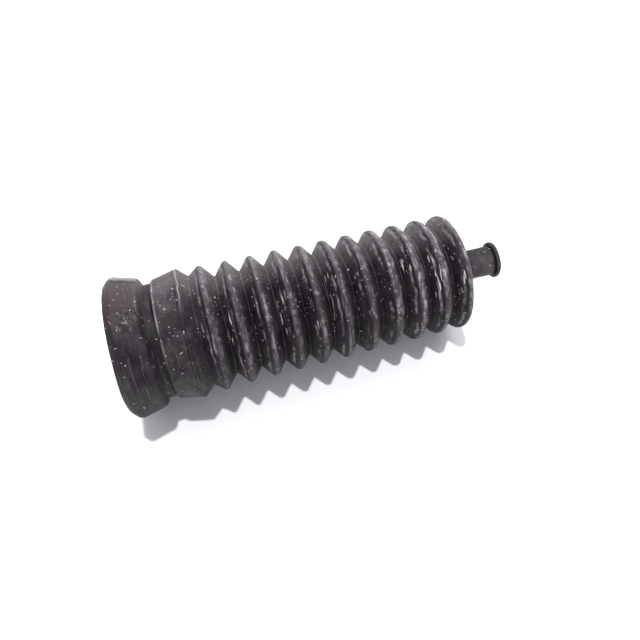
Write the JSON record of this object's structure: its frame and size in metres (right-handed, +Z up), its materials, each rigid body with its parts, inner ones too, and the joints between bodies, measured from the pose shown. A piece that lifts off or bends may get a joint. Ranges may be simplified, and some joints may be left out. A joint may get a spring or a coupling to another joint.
{
  "type": "steering rack boot",
  "caption": "Black rubber bellows boot with a flared mounting cuff, a clamp groove, a row of pleats and a small beaded neck; it telescopes and bends.",
  "frame": {"origin": "centre of the cuff's mouth, on the boot's axis", "axes": "+X along the boot's axis from the cuff's mouth to the neck, +Z up as the boot lies on its side"},
  "size_m": [0.1829, 0.0658, 0.0658],
  "materials": {
    "boot_rubber": "matte, aged and dusty"
  },
  "bodies": {
    "cuff": {"mounting_cuff": "boot_rubber", "band_groove": "boot_rubber", "shoulder": "boot_rubber", "pleat_01_cuff_side_hoop": "boot_rubber", "pleat_01_crest_band": "boot_rubber"},
    "pleat_01_neck_side": {"pleat_01_neck_side_hoop": "boot_rubber", "root_fold_01": "boot_rubber"},
    "pleat_02_cuff_side": {"pleat_02_cuff_side_hoop": "boot_rubber", "pleat_02_crest_band": "boot_rubber"},
    "pleat_02_neck_side": {"pleat_02_neck_side_hoop": "boot_rubber", "root_fold_02": "boot_rubber"},
    "pleat_03_cuff_side": {"pleat_03_cuff_side_hoop": "boot_rubber", "pleat_03_crest_band": "boot_rubber"},
    "pleat_03_neck_side": {"pleat_03_neck_side_hoop": "boot_rubber", "root_fold_03": "boot_rubber"},
    "pleat_04_cuff_side": {"pleat_04_cuff_side_hoop": "boot_rubber", "pleat_04_crest_band": "boot_rubber"},
    "pleat_04_neck_side": {"pleat_04_neck_side_hoop": "boot_rubber", "root_fold_04": "boot_rubber"},
    "pleat_05_cuff_side": {"pleat_05_cuff_side_hoop": "boot_rubber", "pleat_05_crest_band": "boot_rubber"},
    "pleat_05_neck_side": {"pleat_05_neck_side_hoop": "boot_rubber", "root_fold_05": "boot_rubber"},
    "pleat_06_cuff_side": {"pleat_06_cuff_side_hoop": "boot_rubber", "pleat_06_crest_band": "boot_rubber"},
    "pleat_06_neck_side": {"pleat_06_neck_side_hoop": "boot_rubber", "root_fold_06": "boot_rubber"},
    "pleat_07_cuff_side": {"pleat_07_cuff_side_hoop": "boot_rubber", "pleat_07_crest_band": "boot_rubber"},
    "pleat_07_neck_side": {"pleat_07_neck_side_hoop": "boot_rubber", "root_fold_07": "boot_rubber"},
    "pleat_08_cuff_side": {"pleat_08_cuff_side_hoop": "boot_rubber", "pleat_08_crest_band": "boot_rubber"},
    "pleat_08_neck_side": {"pleat_08_neck_side_hoop": "boot_rubber", "root_fold_08": "boot_rubber"},
    "pleat_09_cuff_side": {"pleat_09_cuff_side_hoop": "boot_rubber", "pleat_09_crest_band": "boot_rubber"},
    "pleat_09_neck_side": {"pleat_09_neck_side_hoop": "boot_rubber", "root_fold_09": "boot_rubber"},
    "pleat_10_cuff_side": {"pleat_10_cuff_side_hoop": "boot_rubber", "pleat_10_crest_band": "boot_rubber"},
    "pleat_10_neck_side": {"pleat_10_neck_side_hoop": "boot_rubber", "root_fold_10": "boot_rubber"},
    "pleat_11_cuff_side": {"pleat_11_cuff_side_hoop": "boot_rubber", "pleat_11_crest_band": "boot_rubber"},
    "pleat_11_neck_side": {"pleat_11_neck_side_hoop": "boot_rubber", "root_fold_11": "boot_rubber"},
    "pleat_12_cuff_side": {"pleat_12_cuff_side_hoop": "boot_rubber", "pleat_12_crest_band": "boot_rubber"},
    "pleat_12_neck_side": {"pleat_12_neck_side_hoop": "boot_rubber", "end_wall": "boot_rubber", "neck": "boot_rubber", "neck_bead": "boot_rubber"}
  },
  "joints": [
    {"name": "pleat_01_pitch", "type": "hinge", "parent": "cuff", "child": "pleat_01_neck_side", "pos_m": [0.0327, 0, 0], "axis": [0, 0.9962, 0.0872], "range_deg": [-2.5, 2.5], "stiffness_Nm_per_rad": 10, "deforming": ["pleat_01_crest_band"]},
    {"name": "root_01_stroke", "type": "slide", "parent": "pleat_01_neck_side", "child": "pleat_02_cuff_side", "axis": [1, 0, 0], "range_m": [-0.00392, 0.0028], "stiffness_N_per_m": 3000, "deforming": ["root_fold_01"]},
    {"name": "pleat_02_yaw", "type": "hinge", "parent": "pleat_02_cuff_side", "child": "pleat_02_neck_side", "pos_m": [0.0432, 0, 0], "axis": [0, -0.0872, 0.9962], "range_deg": [-2.5, 2.5], "stiffness_Nm_per_rad": 10, "deforming": ["pleat_02_crest_band"]},
    {"name": "root_02_stroke", "type": "slide", "parent": "pleat_02_neck_side", "child": "pleat_03_cuff_side", "axis": [1, 0, 0], "range_m": [-0.0049, 0.0035], "stiffness_N_per_m": 3000, "deforming": ["root_fold_02"]},
    {"name": "pleat_03_pitch", "type": "hinge", "parent": "pleat_03_cuff_side", "child": "pleat_03_neck_side", "pos_m": [0.0547, 0, 0], "axis": [0, 0.9962, 0.0872], "range_deg": [-2.5, 2.5], "stiffness_Nm_per_rad": 10, "deforming": ["pleat_03_crest_band"]},
    {"name": "root_03_stroke", "type": "slide", "parent": "pleat_03_neck_side", "child": "pleat_04_cuff_side", "axis": [1, 0, 0], "range_m": [-0.0049, 0.0035], "stiffness_N_per_m": 3000, "deforming": ["root_fold_03"]},
    {"name": "pleat_04_yaw", "type": "hinge", "parent": "pleat_04_cuff_side", "child": "pleat_04_neck_side", "pos_m": [0.0662, 0, 0], "axis": [0, -0.0872, 0.9962], "range_deg": [-2.5, 2.5], "stiffness_Nm_per_rad": 10, "deforming": ["pleat_04_crest_band"]},
    {"name": "root_04_stroke", "type": "slide", "parent": "pleat_04_neck_side", "child": "pleat_05_cuff_side", "axis": [1, 0, 0], "range_m": [-0.0049, 0.0035], "stiffness_N_per_m": 3000, "deforming": ["root_fold_04"]},
    {"name": "pleat_05_pitch", "type": "hinge", "parent": "pleat_05_cuff_side", "child": "pleat_05_neck_side", "pos_m": [0.0777, 0, 0], "axis": [0, 0.9962, 0.0872], "range_deg": [-2.5, 2.5], "stiffness_Nm_per_rad": 10, "deforming": ["pleat_05_crest_band"]},
    {"name": "root_05_stroke", "type": "slide", "parent": "pleat_05_neck_side", "child": "pleat_06_cuff_side", "axis": [1, 0, 0], "range_m": [-0.0049, 0.0035], "stiffness_N_per_m": 3000, "deforming": ["root_fold_05"]},
    {"name": "pleat_06_yaw", "type": "hinge", "parent": "pleat_06_cuff_side", "child": "pleat_06_neck_side", "pos_m": [0.0892, 0, 0], "axis": [0, -0.0872, 0.9962], "range_deg": [-2.5, 2.5], "stiffness_Nm_per_rad": 10, "deforming": ["pleat_06_crest_band"]},
    {"name": "root_06_stroke", "type": "slide", "parent": "pleat_06_neck_side", "child": "pleat_07_cuff_side", "axis": [1, 0, 0], "range_m": [-0.0049, 0.0035], "stiffness_N_per_m": 3000, "deforming": ["root_fold_06"]},
    {"name": "pleat_07_pitch", "type": "hinge", "parent": "pleat_07_cuff_side", "child": "pleat_07_neck_side", "pos_m": [0.1007, 0, 0], "axis": [0, 0.9962, 0.0872], "range_deg": [-2.5, 2.5], "stiffness_Nm_per_rad": 10, "deforming": ["pleat_07_crest_band"]},
    {"name": "root_07_stroke", "type": "slide", "parent": "pleat_07_neck_side", "child": "pleat_08_cuff_side", "axis": [1, 0, 0], "range_m": [-0.0049, 0.0035], "stiffness_N_per_m": 3000, "deforming": ["root_fold_07"]},
    {"name": "pleat_08_yaw", "type": "hinge", "parent": "pleat_08_cuff_side", "child": "pleat_08_neck_side", "pos_m": [0.1122, 0, 0], "axis": [0, -0.0872, 0.9962], "range_deg": [-2.5, 2.5], "stiffness_Nm_per_rad": 10, "deforming": ["pleat_08_crest_band"]},
    {"name": "root_08_stroke", "type": "slide", "parent": "pleat_08_neck_side", "child": "pleat_09_cuff_side", "axis": [1, 0, 0], "range_m": [-0.0049, 0.0035], "stiffness_N_per_m": 3000, "deforming": ["root_fold_08"]},
    {"name": "pleat_09_pitch", "type": "hinge", "parent": "pleat_09_cuff_side", "child": "pleat_09_neck_side", "pos_m": [0.1237, 0, 0], "axis": [0, 0.9962, 0.0872], "range_deg": [-2.5, 2.5], "stiffness_Nm_per_rad": 10, "deforming": ["pleat_09_crest_band"]},
    {"name": "root_09_stroke", "type": "slide", "parent": "pleat_09_neck_side", "child": "pleat_10_cuff_side", "axis": [1, 0, 0], "range_m": [-0.0049, 0.0035], "stiffness_N_per_m": 3000, "deforming": ["root_fold_09"]},
    {"name": "pleat_10_yaw", "type": "hinge", "parent": "pleat_10_cuff_side", "child": "pleat_10_neck_side", "pos_m": [0.1352, 0, 0], "axis": [0, -0.0872, 0.9962], "range_deg": [-2.5, 2.5], "stiffness_Nm_per_rad": 10, "deforming": ["pleat_10_crest_band"]},
    {"name": "root_10_stroke", "type": "slide", "parent": "pleat_10_neck_side", "child": "pleat_11_cuff_side", "axis": [1, 0, 0], "range_m": [-0.0049, 0.0035], "stiffness_N_per_m": 3000, "deforming": ["root_fold_10"]},
    {"name": "pleat_11_pitch", "type": "hinge", "parent": "pleat_11_cuff_side", "child": "pleat_11_neck_side", "pos_m": [0.1467, 0, 0], "axis": [0, 0.9962, 0.0872], "range_deg": [-2.5, 2.5], "stiffness_Nm_per_rad": 10, "deforming": ["pleat_11_crest_band"]},
    {"name": "root_11_stroke", "type": "slide", "parent": "pleat_11_neck_side", "child": "pleat_12_cuff_side", "axis": [1, 0, 0], "range_m": [-0.0049, 0.0035], "stiffness_N_per_m": 3000, "deforming": ["root_fold_11"]},
    {"name": "pleat_12_yaw", "type": "hinge", "parent": "pleat_12_cuff_side", "child": "pleat_12_neck_side", "pos_m": [0.1582, 0, 0], "axis": [0, -0.0872, 0.9962], "range_deg": [-2.5, 2.5], "stiffness_Nm_per_rad": 10, "deforming": ["pleat_12_crest_band"]}
  ],
  "couplings": [
    {"joint": "pleat_03_pitch", "follows": "pleat_01_pitch", "ratio": 1},
    {"joint": "pleat_04_yaw", "follows": "pleat_02_yaw", "ratio": 1},
    {"joint": "pleat_05_pitch", "follows": "pleat_01_pitch", "ratio": 1},
    {"joint": "pleat_06_yaw", "follows": "pleat_02_yaw", "ratio": 1},
    {"joint": "pleat_07_pitch", "follows": "pleat_01_pitch", "ratio": 1},
    {"joint": "pleat_08_yaw", "follows": "pleat_02_yaw", "ratio": 1},
    {"joint": "pleat_09_pitch", "follows": "pleat_01_pitch", "ratio": 1},
    {"joint": "pleat_10_yaw", "follows": "pleat_02_yaw", "ratio": 1},
    {"joint": "pleat_11_pitch", "follows": "pleat_01_pitch", "ratio": 1},
    {"joint": "pleat_12_yaw", "follows": "pleat_02_yaw", "ratio": 1},
    {"joint": "root_01_stroke", "follows": "root_02_stroke", "ratio": 0.8},
    {"joint": "root_03_stroke", "follows": "root_02_stroke", "ratio": 1},
    {"joint": "root_04_stroke", "follows": "root_02_stroke", "ratio": 1},
    {"joint": "root_05_stroke", "follows": "root_02_stroke", "ratio": 1},
    {"joint": "root_06_stroke", "follows": "root_02_stroke", "ratio": 1},
    {"joint": "root_07_stroke", "follows": "root_02_stroke", "ratio": 1},
    {"joint": "root_08_stroke", "follows": "root_02_stroke", "ratio": 1},
    {"joint": "root_09_stroke", "follows": "root_02_stroke", "ratio": 1},
    {"joint": "root_10_stroke", "follows": "root_02_stroke", "ratio": 1},
    {"joint": "root_11_stroke", "follows": "root_02_stroke", "ratio": 1}
  ]
}
